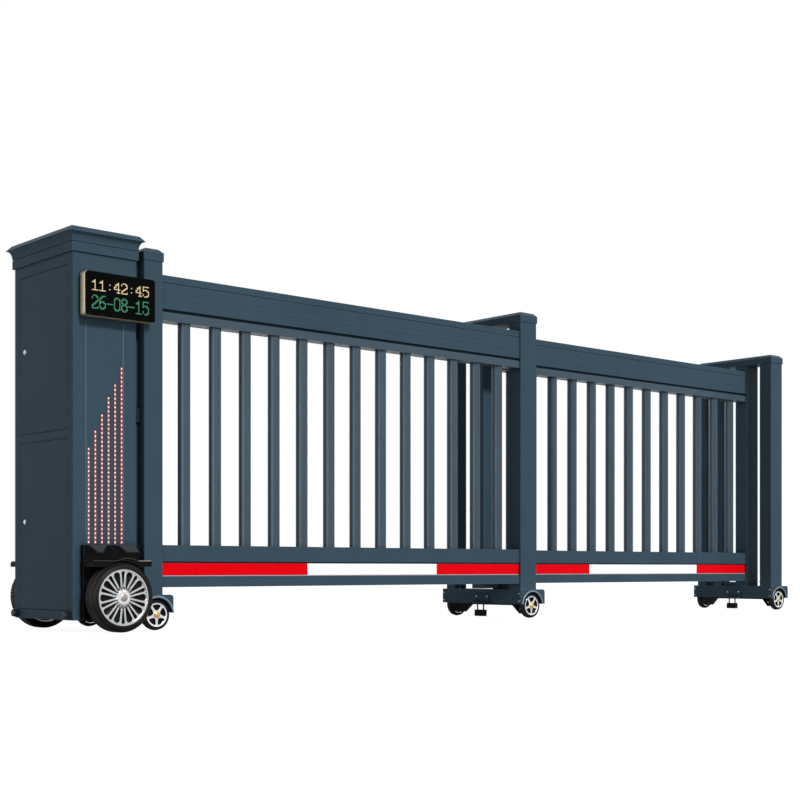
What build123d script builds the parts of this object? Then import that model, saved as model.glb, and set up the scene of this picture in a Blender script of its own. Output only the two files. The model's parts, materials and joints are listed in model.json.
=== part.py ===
# Telescopic sliding gate: a drive cabinet with portal 1, panel 1 and portal 2 slides
# over panel 2 and portal 3. Millimetres, +X along the gate away from the cabinet,
# -Y the side seen in the photo, +Z up. The origin is on the ground at the middle of
# the whole gate's box.
import math
import os

from build123d import *

os.makedirs("parts", exist_ok=True)

# Driving dimensions, read from the photo.
PORTAL_PITCH = 2260.0
PORTAL_DEPTH = 560.0
PORTAL_TOP = 1597.0
PORTAL_Y = 20.0
CAP_HEIGHT = 51.0
CAP_CHAMFER = 16.0
CAP_LIP = 3.0
BASE_BOTTOM = 73.0
BASE_TOP = 149.0
BASE_REAR_REACH = 30.0
BASE_WIDTH = 184.0
SLIM_BASE_WIDTH = 152.0
SLIM_BASE_SHIFT = -10.0
WHEEL_IN_BASE = 88.0
SLIM_WHEEL_IN_BASE = 73.0
POST_W, POST_D = 120.0, 85.0
SLIM_W, SLIM_D = 90.0, 65.0
LANE_PITCH = 178.0
INNER_REAR_SETBACK = 372.0

CAB_W = 292.0
CAB_D = 503.0
CAB_GAP = 34.0
CAB_BOTTOM = 50.0
CAB_TOP = 1634.0
BAND_HEIGHT, COVE_HEIGHT, SLAB_THICK = 43.0, 37.0, 22.0
BAND_PROUD = 7.5
SLAB_OVERHANG, SLAB_TOP_OVERHANG = 29.0, 10.0
SHADOW_LINE = 3.0
CAB_WALL = 5.0
DOOR_HALF_Y = 208.0
DOOR_SILL, DOOR_SPLIT, DOOR_RAIL, DOOR_TOP_MARGIN = 38.0, 787.0, 35.0, 45.0
STILE_LINES = (56.0, 228.0)
STILE_LINE_BOTTOM = 360.0
DOOR_GAP = 2.5
LOCK_Y = 155.0
LOCK_Z = (455.0, 1171.0)
LOCK_R, LOCK_PROUD = 10.0, 3.0
BUFFER_Y, BUFFER_Z, BUFFER_R, BUFFER_LENGTH = 220.0, 71.0, 16.0, 27.0

PANEL_SETBACK = 8.0
PANEL_THICK = 70.0
FASCIA_DROP = 103.0
GROOVE_DOWN, RIDGE_DOWN, FASCIA_HEIGHT = 32.0, 90.0, 141.0
RAIL_DOWN, RAIL_HEIGHT = 155.0, 36.0
LANE2_RISE = 13.0
INNER_POST_DROP = 18.0
TUBE_TOP, TUBE_BOTTOM, LOWER_TUBE_TOP, PANEL_BOTTOM = 358.0, 289.0, 224.0, 180.0
STRIP_BOTTOM, STRIP_TOP = 230.0, 282.0
PICKET_R = 27.0
PICKET_COUNT = 13
PICKET_END_GAP = 132.0

BIG_R, BIG_WIDTH = 141.5, 80.0
BIG_RIM_R = 114.0
BIG_X_IN_CAB = 169.0
BIG_OUTER_Y = 365.0
BAY_INSET, BAY_THICK, BAY_TOP = 34.0, 24.0, 354.0
FENDER_TOP, FENDER_BOTTOM, FENDER_SETBACK = 291.0, 266.0, 12.0
AXLE_R = 12.0
SMALL_R, SMALL_WIDTH = 65.0, 36.0
SMALL_RIM_R = 50.0
STUB_R = 6.0
ARCH_R = 72.0
POCKET_DEPTH = 60.0
GUARD_DEPTH = 62.0
GUARD_BOTTOM = 22.0
GUIDE_HALF, BRACKET_HALF, BRACKET_HEIGHT = 31.0, 52.0, 52.0

DISPLAY_X = (26.6, 349.3)
DISPLAY_DROP, DISPLAY_HEIGHT = 181.0, 178.0
DISPLAY_THICK = 42.0
SCREEN_THICK = 6.0
DISPLAY_STANDOFF = 46.0
DISPLAY_FOOT = 30.0
LED_TOPS = (742.0, 813.0, 881.0, 954.0, 1008.0, 1080.0)
LED_BOTTOM, LED_FIRST_X, LED_PITCH, LED_HALF, LED_THICK = 358.0, 69.1, 30.4, 4.0, 3.0
LINK_LOW, LINK_MIDDLE, LINK_DROP, LINK_HALF = 260.0, 900.0, 92.0, 30.0
MOTOR_R, MOTOR_HEIGHT = 48.0, 220.0
BEARING_HALF = 40.0

# Named clearances.
RUNNING = 0.6
MOVING = 6.0
RUNNER_GAP = 0.3
GUIDE_REACH = 30.0

# Derived positions.
LENGTH = SLAB_OVERHANG + CAB_W + CAB_GAP + 2 * PORTAL_PITCH + BASE_WIDTH
CAB_X0 = -LENGTH / 2 + SLAB_OVERHANG
CAB_X1 = CAB_X0 + CAB_W
P1 = CAB_X1 + CAB_GAP
P2 = P1 + PORTAL_PITCH
P3 = P2 + PORTAL_PITCH
FRONT_Y = PORTAL_Y - PORTAL_DEPTH / 2
REAR_Y = PORTAL_Y + PORTAL_DEPTH / 2
CAB_Y = CAB_D / 2
BASE_REAR_Y = REAR_Y + BASE_REAR_REACH
POST_TOP = PORTAL_TOP - CAP_HEIGHT
FASCIA_TOP = PORTAL_TOP - FASCIA_DROP
SLAB_BOTTOM = CAB_TOP - SLAB_THICK
COVE_BOTTOM = SLAB_BOTTOM - COVE_HEIGHT
BAND_BOTTOM = COVE_BOTTOM - BAND_HEIGHT
UPPER_DOOR_Z = (DOOR_SPLIT + DOOR_RAIL, BAND_BOTTOM - DOOR_TOP_MARGIN)
LOWER_DOOR_Z = (CAB_BOTTOM + DOOR_SILL, DOOR_SPLIT)
DISPLAY_FACE_Y = FRONT_Y - DISPLAY_STANDOFF
DISPLAY_Z = (CAB_TOP - DISPLAY_DROP - DISPLAY_HEIGHT, CAB_TOP - DISPLAY_DROP)
BIG_X = CAB_X0 + BIG_X_IN_CAB
LANE2_Y = FRONT_Y + LANE_PITCH
TRAVEL = PORTAL_PITCH - BASE_WIDTH - GUIDE_REACH - MOVING
END_POST_LEFT = P2 - 97.0


def block(x0, x1, y0, y1, z0, z1, mode=Mode.ADD):
    with Locations(((x0 + x1) / 2, (y0 + y1) / 2, (z0 + z1) / 2)):
        Box(abs(x1 - x0), abs(y1 - y0), abs(z1 - z0), mode=mode)


def rod_x(x0, x1, y, z, r, mode=Mode.ADD):
    with Locations(Location(((x0 + x1) / 2, y, z), (0, 90, 0))):
        Cylinder(r, abs(x1 - x0), mode=mode)


def rod_y(x, y0, y1, z, r, mode=Mode.ADD):
    with Locations(Location((x, (y0 + y1) / 2, z), (90, 0, 0))):
        Cylinder(r, abs(y1 - y0), mode=mode)


def rod_z(x, y, z0, z1, r, mode=Mode.ADD):
    with Locations((x, y, (z0 + z1) / 2)):
        Cylinder(r, abs(z1 - z0), mode=mode)


def profile_along_x(points, x0, x1, mode=Mode.ADD):
    with BuildSketch(Plane.YZ.offset(x0)) as outline:
        with BuildLine():
            Polyline(*points, close=True)
        make_face()
    extrude(outline.sketch, amount=x1 - x0, mode=mode)


def save(name, part):
    part.label = name
    export_step(part, "parts/" + name + ".step")


# Cabinet shell with its two door openings, axle slots and the front panel's two lines.
with BuildPart() as cabinet_body:
    block(CAB_X0, CAB_X1, -CAB_Y, CAB_Y, CAB_BOTTOM, BAND_BOTTOM)
    fillet(cabinet_body.edges().filter_by(Axis.Z), 4)
    block(CAB_X0 + CAB_WALL, CAB_X1 - CAB_WALL, -CAB_Y + CAB_WALL, CAB_Y - CAB_WALL,
          CAB_BOTTOM + CAB_WALL, BAND_BOTTOM - CAB_WALL, Mode.SUBTRACT)
    for z0, z1 in (UPPER_DOOR_Z, LOWER_DOOR_Z):
        block(CAB_X0 - 1, CAB_X0 + CAB_WALL + 1, -DOOR_HALF_Y, DOOR_HALF_Y, z0, z1,
              Mode.SUBTRACT)
        for side in (-1, 1):
            block(CAB_X0 + CAB_WALL - 1, CAB_X0 + CAB_WALL + 3, side * (DOOR_HALF_Y - 14),
                  side * (DOOR_HALF_Y + 12), z0 + 20, z1 - 20)
    for side in (-1, 1):
        rod_y(BIG_X, side * (CAB_Y - CAB_WALL - 1), side * (CAB_Y + 1), BIG_R,
              AXLE_R + MOVING, Mode.SUBTRACT)
    for line_x in STILE_LINES:
        block(CAB_X0 + line_x - 1.5, CAB_X0 + line_x + 1.5, -CAB_Y - 1, -CAB_Y + 2,
              STILE_LINE_BOTTOM, DISPLAY_Z[0] + 20, Mode.SUBTRACT)
save("cabinet_body", cabinet_body.part)


def cornice_outline(half):
    band, over = half + BAND_PROUD, half + SLAB_OVERHANG
    reach, rise = SLAB_OVERHANG - BAND_PROUD - 3, SLAB_BOTTOM - COVE_BOTTOM
    cove = [(over - 3 - reach * math.cos(math.radians(a)),
             COVE_BOTTOM + rise * math.sin(math.radians(a))) for a in (0, 15, 30, 45, 60, 75, 90)]
    right = [(half - 1, BAND_BOTTOM), (half - 1, BAND_BOTTOM + SHADOW_LINE),
             (band, BAND_BOTTOM + SHADOW_LINE), (band, COVE_BOTTOM - SHADOW_LINE),
             (band - 5, COVE_BOTTOM - SHADOW_LINE), (band - 5, COVE_BOTTOM)]
    right += cove + [(over, SLAB_BOTTOM), (half + SLAB_TOP_OVERHANG, CAB_TOP)]
    return right + [(-x, z) for x, z in reversed(right)]


with BuildPart() as cabinet_cornice:
    with BuildSketch(Plane.XZ.offset(-CAB_Y - 50)):
        with BuildLine():
            Polyline(*[(x + (CAB_X0 + CAB_X1) / 2, z)
                       for x, z in cornice_outline(CAB_W / 2)], close=True)
        make_face()
    extrude(amount=2 * CAB_Y + 100)
    with BuildSketch(Plane.YZ.offset(CAB_X0 - 50)):
        with BuildLine():
            Polyline(*cornice_outline(CAB_Y), close=True)
        make_face()
    extrude(amount=CAB_W + 100, mode=Mode.INTERSECT)
save("cabinet_cornice", cabinet_cornice.part)


def service_door(z0, z1):
    with BuildPart() as door:
        block(CAB_X0, CAB_X0 + CAB_WALL - 1, -DOOR_HALF_Y + DOOR_GAP, DOOR_HALF_Y - DOOR_GAP,
              z0 + DOOR_GAP, z1 - DOOR_GAP)
    return door.part


save("upper_service_door", service_door(*UPPER_DOOR_Z))
save("lower_service_door", service_door(*LOWER_DOOR_Z))

with BuildPart() as door_locks:
    for z in LOCK_Z:
        rod_x(CAB_X0 - LOCK_PROUD, CAB_X0, LOCK_Y, z, LOCK_R)
        rod_x(CAB_X0 - LOCK_PROUD - 3, CAB_X0 - LOCK_PROUD, LOCK_Y, z, LOCK_R - 4)
save("door_locks", door_locks.part)

with BuildPart() as buffers:
    for side in (-1, 1):
        rod_x(CAB_X0 - BUFFER_LENGTH, CAB_X0, side * BUFFER_Y, BUFFER_Z, BUFFER_R)
    fillet(buffers.edges().filter_by(GeomType.CIRCLE).group_by(Axis.X)[0], 4)
save("buffers", buffers.part)


# Black moulded bay on the cabinet's front and rear, with the fender over the wheel.
def wheel_bay(side):
    x0 = CAB_X0 + BAY_INSET
    face = side * CAB_Y
    reach = side * (BIG_OUTER_Y - FENDER_SETBACK)
    wave = [(-3, FENDER_TOP - 8), (4, FENDER_TOP), (104, FENDER_TOP), (120, FENDER_TOP + 4),
            (134, FENDER_TOP + 9), (156, FENDER_TOP + 11), (178, FENDER_TOP + 9),
            (192, FENDER_TOP + 4), (208, FENDER_TOP), (266, FENDER_TOP), (270, FENDER_TOP - 5),
            (270, FENDER_BOTTOM), (-3, FENDER_BOTTOM)]
    with BuildPart() as bay:
        block(x0, CAB_X1, face, face + side * BAY_THICK, CAB_BOTTOM + 2, BAY_TOP)
        with BuildSketch(Plane.XZ.offset(-face)) as outline:
            with BuildLine():
                Polyline(*[(x0 + x, z) for x, z in wave], close=True)
            make_face()
        extrude(outline.sketch, amount=face - reach)
        rod_y(BIG_X, face + side * BAY_THICK, reach + side, BIG_R, BIG_R + MOVING, Mode.SUBTRACT)
        rod_y(BIG_X, face, face + side * BAY_THICK, BIG_R, AXLE_R + MOVING, Mode.SUBTRACT)
    return bay.part


save("front_wheel_bay", wheel_bay(-1))
save("rear_wheel_bay", wheel_bay(1))

# Gear-motor and the two bearing blocks that carry the drive axle inside the cabinet.
with BuildPart() as drive_unit:
    block(CAB_X0 + 20, CAB_X1 - 20, -CAB_Y + 30, CAB_Y - 30, CAB_BOTTOM + CAB_WALL,
          CAB_BOTTOM + CAB_WALL + 8)
    for y0, y1 in ((-200, -160), (-50, 50), (160, 200)):
        block(BIG_X - BEARING_HALF, BIG_X + BEARING_HALF, y0, y1, CAB_BOTTOM + CAB_WALL + 8,
              BIG_R + BEARING_HALF)
    rod_z(BIG_X, 0, BIG_R + BEARING_HALF, BIG_R + BEARING_HALF + MOTOR_HEIGHT, MOTOR_R)
    rod_y(BIG_X, -220, 220, BIG_R, AXLE_R + RUNNING, Mode.SUBTRACT)
save("drive_unit", drive_unit.part)

with BuildPart() as drive_axle:
    rod_y(BIG_X, -(BIG_OUTER_Y - 20), BIG_OUTER_Y - 20, BIG_R, AXLE_R)
save("drive_axle", drive_axle.part)


def big_tyre(side):
    y0, y1 = side * (BIG_OUTER_Y - BIG_WIDTH), side * BIG_OUTER_Y
    with BuildPart() as tyre:
        rod_y(BIG_X, y0, y1, BIG_R, BIG_R)
        fillet(tyre.edges().filter_by(GeomType.CIRCLE), 7)
        rod_y(BIG_X, y0, y1, BIG_R, BIG_RIM_R, Mode.SUBTRACT)
    return tyre.part


def tapered_slot(at, turn, r_in, half_in, r_out, half_out):
    """Outline in X and Z of a slot with round ends, widening from the hub to the rim."""
    points = []
    for centre, half, start in ((r_out, half_out, -80), (r_in, half_in, 100)):
        for step in range(5):
            a = math.radians(start + 40 * step)
            points.append((half * math.sin(a), centre + half * math.cos(a)))
    c, s = math.cos(turn), math.sin(turn)
    return [(at[0] + x * c + z * s, at[1] - x * s + z * c) for x, z in points]


def big_rim(side):
    inner, outer = side * (BIG_OUTER_Y - BIG_WIDTH + 6), side * (BIG_OUTER_Y - 4)
    back = side * (BIG_OUTER_Y - 28)
    with BuildPart() as rim:
        rod_y(BIG_X, inner, outer, BIG_R, BIG_RIM_R)
        rod_y(BIG_X, side * (BIG_OUTER_Y - 10), outer, BIG_R, BIG_RIM_R - 6, Mode.SUBTRACT)
        rod_y(BIG_X, inner, back, BIG_R, BIG_RIM_R - 6, Mode.SUBTRACT)
        with BuildSketch(Plane.XZ.offset(-side * (BIG_OUTER_Y - 50))) as slots:
            for i in range(20):
                shape = (46, 4, BIG_RIM_R - 22, 15) if i % 2 else (43, 2.5, BIG_RIM_R - 15, 8)
                with BuildLine():
                    Polyline(*tapered_slot((BIG_X, BIG_R), math.radians(18 * i), *shape),
                             close=True)
                make_face()
        extrude(slots.sketch, amount=-side * 50, mode=Mode.SUBTRACT)
        rod_y(BIG_X, inner, side * (BIG_OUTER_Y - 7), BIG_R, 29)
        rod_y(BIG_X, side * (BIG_OUTER_Y - 90), side * (BIG_OUTER_Y - 20), BIG_R, AXLE_R,
              Mode.SUBTRACT)
    return rim.part


for name, side in (("front", -1), ("rear", 1)):
    save(name + "_drive_tyre", big_tyre(side))
    save(name + "_drive_rim", big_rim(side))

# Hour display on the front: gilt case, black face and the spacers behind it.
DX0, DX1 = CAB_X0 + DISPLAY_X[0], CAB_X0 + DISPLAY_X[1]
DZ0, DZ1 = DISPLAY_Z
DISPLAY_BACK_Y = DISPLAY_FACE_Y + DISPLAY_THICK
with BuildPart() as display_case:
    block(DX0, DX1, DISPLAY_FACE_Y + SCREEN_THICK, DISPLAY_BACK_Y, DZ0, DZ1)
    fillet(display_case.edges().filter_by(Axis.Y), 12)
save("display_case", display_case.part)

with BuildPart() as display_screen:
    block(DX0 + 0.5, DX1 - 0.5, DISPLAY_FACE_Y, DISPLAY_FACE_Y + SCREEN_THICK, DZ0 + 0.5, DZ1 - 0.5)
    fillet(display_screen.edges().filter_by(Axis.Y), 12)
save("display_screen", display_screen.part)

with BuildPart() as display_brackets:
    for x in (CAB_X0 + 70, CAB_X0 + 240):
        block(x - 15, x + 15, DISPLAY_BACK_Y, -CAB_Y, DZ0 + DISPLAY_FOOT, DZ1 - DISPLAY_FOOT)
    block(P1 + 2, DX1 - 4, DISPLAY_BACK_Y, FRONT_Y, DZ0 + DISPLAY_FOOT, DZ1 - DISPLAY_FOOT)
save("display_brackets", display_brackets.part)

with BuildPart() as light_strips:
    for i, top in enumerate(LED_TOPS):
        x = CAB_X0 + LED_FIRST_X + LED_PITCH * i
        block(x - LED_HALF, x + LED_HALF, -CAB_Y - LED_THICK, -CAB_Y, LED_BOTTOM, top + 7)
save("light_strips", light_strips.part)

with BuildPart() as cabinet_links:
    for y0, y1 in ((-CAB_Y + 28, -CAB_Y + 44), (REAR_Y - SLIM_D, CAB_Y - 5)):
        for z in (LINK_LOW, LINK_MIDDLE, min(POST_TOP, BAND_BOTTOM) - LINK_DROP):
            block(CAB_X1, P1, y0, y1, z - LINK_HALF, z + LINK_HALF)
save("cabinet_links", cabinet_links.part)


# Portals: posts, capped top beam, base beam, black guards, guide block.
def posts(x, wide, inner):
    w, d = (POST_W, POST_D) if wide else (SLIM_W, SLIM_D)
    with BuildPart() as uprights:
        block(x, x + w, FRONT_Y, FRONT_Y + d, BASE_TOP, POST_TOP)
        block(x, x + SLIM_W, REAR_Y - SLIM_D, REAR_Y, BASE_TOP, POST_TOP)
        if inner:
            block(x, x + SLIM_W, FRONT_Y + INNER_REAR_SETBACK,
                  FRONT_Y + INNER_REAR_SETBACK + SLIM_D, BASE_TOP, POST_TOP)
        fillet(uprights.edges().filter_by(Axis.Z), 4)
    return uprights.part


def top_beam(x, w):
    with BuildPart() as beam:
        block(x - CAP_LIP, x + w + CAP_LIP, FRONT_Y - CAP_LIP, REAR_Y + CAP_LIP, POST_TOP,
              PORTAL_TOP)
        chamfer(beam.faces().sort_by(Axis.Z)[-1].edges(), CAP_CHAMFER)
    return beam.part


def base_beam(x, w, wheel_x, with_seat):
    with BuildPart() as beam:
        block(x, x + w, FRONT_Y, BASE_REAR_Y, BASE_BOTTOM, BASE_TOP)
        fillet(beam.edges().filter_by(Axis.Y).group_by(Axis.Z)[-1].sort_by(Axis.X)[-1], 14)
        for side, face in ((-1, FRONT_Y), (1, BASE_REAR_Y)):
            rod_y(wheel_x, face, face + side * 3, SMALL_R, ARCH_R + 5)
            block(x - 10, x + w + 10, face - 5, face + 5, SMALL_R - ARCH_R - 10, BASE_BOTTOM,
                  Mode.SUBTRACT)
            rod_y(wheel_x, face + side * 4, face - side * POCKET_DEPTH, SMALL_R, ARCH_R,
                  Mode.SUBTRACT)
            rod_y(wheel_x, face - side * 8, face - side * POCKET_DEPTH, SMALL_R, STUB_R)
            block(wheel_x - 14, wheel_x + 14, face - side * (POCKET_DEPTH - 12),
                  face - side * (POCKET_DEPTH + 1), SMALL_R - 14, BASE_BOTTOM + 30)
        if with_seat:
            block(x + 12, x + SLIM_W - 12, LANE2_Y + POST_D + 3,
                  FRONT_Y + INNER_REAR_SETBACK, BASE_TOP - 2, PANEL_BOTTOM - MOVING)
    return beam.part


def guards(x, w, wheel_x):
    with BuildPart() as guard:
        block(x + 12, x + w - 12, FRONT_Y + GUARD_DEPTH, BASE_REAR_Y - GUARD_DEPTH,
              BASE_BOTTOM - 7, BASE_BOTTOM)
        for y0 in (FRONT_Y + GUARD_DEPTH, BASE_REAR_Y - GUARD_DEPTH - 10):
            with BuildSketch(Plane.XZ.offset(-y0 - 10)) as outline:
                with BuildLine():
                    Polyline((x + 3, BASE_BOTTOM), (wheel_x - 24, GUARD_BOTTOM),
                             (wheel_x + 24, GUARD_BOTTOM), (x + w - 3, BASE_BOTTOM), close=True)
                make_face()
            extrude(outline.sketch, amount=10)
    return guard.part


def guide_bracket(x):
    with BuildPart() as bracket:
        block(x - 6, x, PORTAL_Y - BRACKET_HALF, PORTAL_Y + BRACKET_HALF, BASE_BOTTOM,
              BASE_BOTTOM + BRACKET_HEIGHT)
        block(x - GUIDE_REACH, x, PORTAL_Y - BRACKET_HALF, PORTAL_Y + BRACKET_HALF, BASE_BOTTOM,
              BASE_BOTTOM + 5)
    return bracket.part


def guide_block(x):
    with BuildPart() as guide:
        for y in (PORTAL_Y - GUIDE_HALF + 9, PORTAL_Y + GUIDE_HALF - 9):
            rod_z(x - GUIDE_REACH / 2, y, 38, BASE_BOTTOM, 4)
        block(x - GUIDE_REACH, x, PORTAL_Y - GUIDE_HALF, PORTAL_Y + GUIDE_HALF, 6, 40)
    return guide.part


def small_tyre(wheel_x, side, face):
    y0, y1 = face - side * 2, face - side * (2 + SMALL_WIDTH)
    with BuildPart() as tyre:
        rod_y(wheel_x, y0, y1, SMALL_R, SMALL_R)
        fillet(tyre.edges().filter_by(GeomType.CIRCLE), 5)
        rod_y(wheel_x, y0, y1, SMALL_R, SMALL_RIM_R, Mode.SUBTRACT)
    return tyre.part


def small_rim(wheel_x, side, face):
    y0, y1 = face - side * 4, face - side * SMALL_WIDTH
    with BuildPart() as rim:
        rod_y(wheel_x, y0, y1, SMALL_R, SMALL_RIM_R)
        rod_y(wheel_x, y0, y0 - side * 5, SMALL_R, SMALL_RIM_R - 5, Mode.SUBTRACT)
        rod_y(wheel_x, y1, y1 + side * 12, SMALL_R, SMALL_RIM_R - 5, Mode.SUBTRACT)
        with BuildSketch(Plane.XZ.offset(-(y0 + y1) / 2 - 30)) as openings:
            for i in range(5):
                with BuildLine():
                    Polyline(*tapered_slot((wheel_x, SMALL_R), math.radians(72 * i + 36),
                                           21, 5, SMALL_RIM_R - 18, 12), close=True)
                make_face()
        extrude(openings.sketch, amount=60, mode=Mode.SUBTRACT)
        rod_y(wheel_x, y0, y1, SMALL_R, 15)
        rod_y(wheel_x, y0 - side * 3, y1, SMALL_R, STUB_R + RUNNING, Mode.SUBTRACT)
    return rim.part


PORTALS = (("portal_1", P1, SLIM_W, P1 + SLIM_BASE_SHIFT, SLIM_BASE_WIDTH, SLIM_WHEEL_IN_BASE),
           ("portal_2", P2, POST_W, P2, BASE_WIDTH, WHEEL_IN_BASE),
           ("portal_3", P3, POST_W, P3, BASE_WIDTH, WHEEL_IN_BASE))
for name, x, w, base_x, base_w, wheel_in in PORTALS:
    save(name + "_posts", posts(x, w == POST_W, name == "portal_3"))
    save(name + "_top_beam", top_beam(x, w))
    save(name + "_base_beam", base_beam(base_x, base_w, base_x + wheel_in, name == "portal_3"))
    save(name + "_wheel_guards", guards(base_x, base_w, base_x + wheel_in))
    if name != "portal_1":
        save(name + "_guide_bracket", guide_bracket(base_x))
        save(name + "_guide_block", guide_block(base_x))
    for end, side, face in (("front", -1, FRONT_Y), ("rear", 1, BASE_REAR_Y)):
        save(name + "_" + end + "_tyre", small_tyre(base_x + wheel_in, side, face))
        save(name + "_" + end + "_rim", small_rim(base_x + wheel_in, side, face))

# Dark guide under panel 2 on portal 2's base.
with BuildPart() as portal_2_lane_guide:
    block(P2 + 40, P2 + 150, LANE2_Y + 10, LANE2_Y + 66, BASE_TOP, BASE_TOP + 6)
    block(P2 + 60, P2 + 130, LANE2_Y + 16, LANE2_Y + 60, BASE_TOP + 6, PANEL_BOTTOM - RUNNER_GAP)
save("portal_2_lane_guide", portal_2_lane_guide.part)


# Fence panels: fascia, upper rail with 13 round pickets, bottom rails, reflective strip.
def fence_panel(name, x0, x1, front, top):
    back = front + PANEL_THICK
    low, rail_top = top - FASCIA_HEIGHT, top - RAIL_DOWN
    groove, ridge = top - GROOVE_DOWN, top - RIDGE_DOWN
    with BuildPart() as fascia:
        profile_along_x([(front, top), (back, top), (back, rail_top), (front + 14, rail_top),
                         (front + 14, low), (front, low), (front, ridge - 3), (front - 2, ridge),
                         (front, ridge + 3), (front, groove - 2.5), (front + 3, groove - 1.5),
                         (front + 3, groove + 1.5), (front, groove + 2.5)], x0, x1)
    save(name + "_fascia", fascia.part)
    pitch = (x1 - x0 - 2 * PICKET_END_GAP) / (PICKET_COUNT - 1)
    with BuildPart() as pickets:
        block(x0, x1, front, back, rail_top - RAIL_HEIGHT, rail_top)
        for i in range(PICKET_COUNT):
            rod_z(x0 + PICKET_END_GAP + pitch * i, front + PANEL_THICK / 2, TUBE_TOP,
                  rail_top - RAIL_HEIGHT, PICKET_R)
    save(name + "_pickets", pickets.part)
    with BuildPart() as rails:
        profile_along_x([(front, TUBE_TOP), (back, TUBE_TOP), (back, PANEL_BOTTOM),
                         (front, PANEL_BOTTOM), (front, LOWER_TUBE_TOP),
                         (front + 9, LOWER_TUBE_TOP), (front + 9, TUBE_BOTTOM),
                         (front, TUBE_BOTTOM)], x0, x1)
    save(name + "_bottom_rails", rails.part)
    with BuildPart() as strip:
        block(x0 + 2, x1 - 2, front + 5, front + 9, STRIP_BOTTOM, STRIP_TOP)
    save(name + "_reflective_strip", strip.part)


fence_panel("panel_1", P1 + SLIM_W, P2, FRONT_Y + PANEL_SETBACK, FASCIA_TOP)
fence_panel("panel_2", END_POST_LEFT + POST_W, P3, LANE2_Y + PANEL_SETBACK,
            FASCIA_TOP + LANE2_RISE)

with BuildPart() as panel_2_left_post:
    block(END_POST_LEFT, END_POST_LEFT + POST_W, LANE2_Y, LANE2_Y + POST_D, BASE_TOP + MOVING,
          POST_TOP - INNER_POST_DROP)
    fillet(panel_2_left_post.edges().filter_by(Axis.Z), 4)
save("panel_2_left_post", panel_2_left_post.part)

with BuildPart() as panel_2_right_post:
    block(P3, P3 + POST_W, LANE2_Y, LANE2_Y + POST_D + 3, BASE_TOP, POST_TOP)
    fillet(panel_2_right_post.edges().filter_by(Axis.Z), 4)
save("panel_2_right_post", panel_2_right_post.part)
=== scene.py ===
import json
import math

import bmesh
import bpy
from mathutils import Matrix, Vector


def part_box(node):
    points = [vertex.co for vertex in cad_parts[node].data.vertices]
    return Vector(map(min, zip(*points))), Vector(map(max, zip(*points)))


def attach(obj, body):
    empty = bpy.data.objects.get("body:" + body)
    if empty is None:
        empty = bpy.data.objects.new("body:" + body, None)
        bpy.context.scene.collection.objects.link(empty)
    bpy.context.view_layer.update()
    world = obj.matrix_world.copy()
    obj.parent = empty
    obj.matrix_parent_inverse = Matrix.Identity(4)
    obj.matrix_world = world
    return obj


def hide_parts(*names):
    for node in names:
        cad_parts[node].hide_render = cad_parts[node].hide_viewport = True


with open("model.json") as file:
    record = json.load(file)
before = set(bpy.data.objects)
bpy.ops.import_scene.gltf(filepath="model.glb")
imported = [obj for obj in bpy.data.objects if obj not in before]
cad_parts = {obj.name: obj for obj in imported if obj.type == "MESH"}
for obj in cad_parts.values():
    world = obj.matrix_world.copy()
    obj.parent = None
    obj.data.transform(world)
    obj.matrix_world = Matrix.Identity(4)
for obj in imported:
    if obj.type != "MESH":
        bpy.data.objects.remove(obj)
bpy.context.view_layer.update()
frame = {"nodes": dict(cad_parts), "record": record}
NODES = frame["nodes"]


# Materials

def new_material(name):
    """Material with its node tree and its Principled shader."""
    mat = bpy.data.materials.new(name)
    mat.use_nodes = True
    tree = mat.node_tree
    return mat, tree, tree.nodes["Principled BSDF"]


def add(tree, kind, **values):
    """New node with its properties set."""
    node = tree.nodes.new(kind)
    for key, value in values.items():
        setattr(node, key, value)
    return node


def object_coords(tree):
    """Object coordinates, so that a pattern rides with its piece."""
    return add(tree, "ShaderNodeTexCoord").outputs["Object"]


def noise(tree, scale, detail):
    """Noise value over object coordinates."""
    n = add(tree, "ShaderNodeTexNoise")
    n.inputs["Scale"].default_value = scale
    n.inputs["Detail"].default_value = detail
    n.inputs["Roughness"].default_value = 0.5
    tree.links.new(object_coords(tree), n.inputs["Vector"])
    return n.outputs["Fac"]


def ramp(tree, fac, stops):
    """Colour ramp through (position, colour) stops."""
    r = add(tree, "ShaderNodeValToRGB")
    e = r.color_ramp.elements
    while len(e) < len(stops):
        e.new(0.5)
    for item, (pos, col) in zip(e, stops):
        item.position = pos
        item.color = tuple(col) + (1.0,)
    tree.links.new(fac, r.inputs["Fac"])
    return r.outputs["Color"]


def scalar(tree, fac, low, high):
    """Value carried from 0..1 to low..high."""
    m = add(tree, "ShaderNodeMapRange")
    m.inputs["To Min"].default_value = low
    m.inputs["To Max"].default_value = high
    tree.links.new(fac, m.inputs["Value"])
    return m.outputs["Result"]


def bump(tree, shader, height, strength, distance, edge=0.0):
    """Relief from height, on edges rounded by edge metres."""
    b = add(tree, "ShaderNodeBump")
    b.inputs["Strength"].default_value = strength
    b.inputs["Distance"].default_value = distance
    tree.links.new(height, b.inputs["Height"])
    if edge:
        bev = add(tree, "ShaderNodeBevel", samples=4)
        bev.inputs["Radius"].default_value = edge
        tree.links.new(bev.outputs["Normal"], b.inputs["Normal"])
    tree.links.new(b.outputs["Normal"], shader.inputs["Normal"])


def mottled(tree, shader, colour, spread, scale):
    """Base colour that drifts a little around one tone."""
    lo = [max(c * (1 - spread), 0) for c in colour]
    hi = [c * (1 + spread) for c in colour]
    tree.links.new(ramp(tree, noise(tree, scale, 5), [(0.3, lo), (0.7, hi)]),
                   shader.inputs["Base Color"])


# Width of the painted edge highlight and reach of the painted shade in joints
EDGE_SHEEN_WIDTH, NOOK_SHADE_DEPTH = 0.0032, 0.03


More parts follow.
